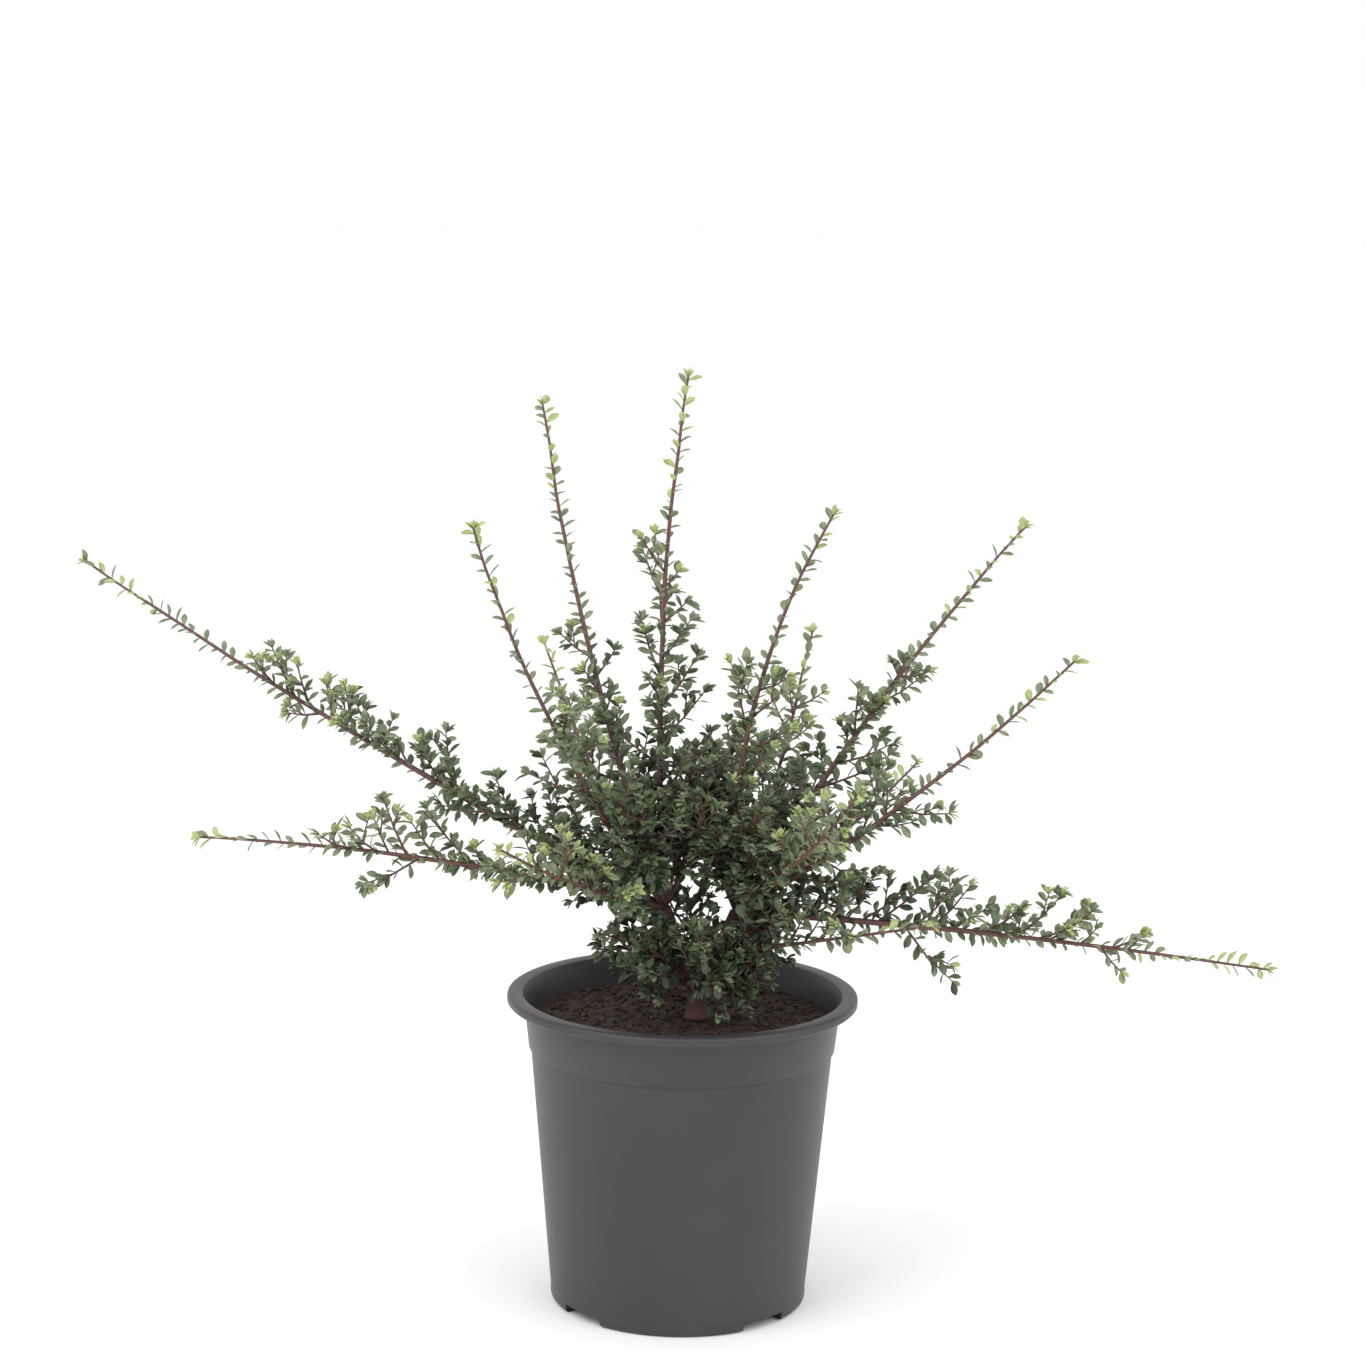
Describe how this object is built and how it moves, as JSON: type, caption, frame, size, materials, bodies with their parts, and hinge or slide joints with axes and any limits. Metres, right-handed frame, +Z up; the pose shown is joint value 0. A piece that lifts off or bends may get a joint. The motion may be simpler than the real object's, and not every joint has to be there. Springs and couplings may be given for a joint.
{
  "type": "potted small-leaved cotoneaster shrub",
  "caption": "Young evergreen shrub with long slender shoots that fan out of a short forked stem, small oval leaves, in a round tapered black plastic nursery pot filled with soil",
  "frame": {"origin": "centre of the pot's flat underside", "axes": "+Z up, +X to the right in the picture along the widest spread of the shoots, -Y towards the viewer"},
  "size_m": [0.5951, 0.2734, 0.458],
  "materials": {
    "pot": "dark moulded plastic, slightly scuffed",
    "soil": "dark fibrous peat",
    "bark": "thin red-brown bark",
    "foliage": "small leathery grey-green leaves"
  },
  "bodies": {
    "root": {"pot": "pot", "soil": "soil", "trunk": "bark", "bough_far_left": "bark", "bough_left_low": "bark", "bough_left_front": "bark", "bough_centre_left": "bark", "bough_tall_centre": "bark", "bough_right_centre": "bark", "bough_right_upper": "bark", "bough_right_middle": "bark", "bough_far_right": "bark", "bough_right_thin": "bark", "bough_front_left": "bark", "bough_front_right": "bark", "bough_back_left": "bark", "bough_back_right": "bark", "bough_back_low": "bark", "foliage_far_left": "foliage", "foliage_left_low": "foliage", "foliage_left_front": "foliage", "foliage_centre_left": "foliage", "foliage_tall_centre": "foliage", "foliage_right_centre": "foliage", "foliage_right_upper": "foliage", "foliage_right_middle": "foliage", "foliage_far_right": "foliage", "foliage_right_thin": "foliage", "foliage_front_left": "foliage", "foliage_front_right": "foliage", "foliage_back_left": "foliage", "foliage_back_right": "foliage", "foliage_back_low": "foliage", "foliage_tuft_left": "foliage", "foliage_tuft_front": "foliage", "foliage_tuft_right": "foliage", "foliage_tuft_back": "foliage"}
  },
  "joints": []
}
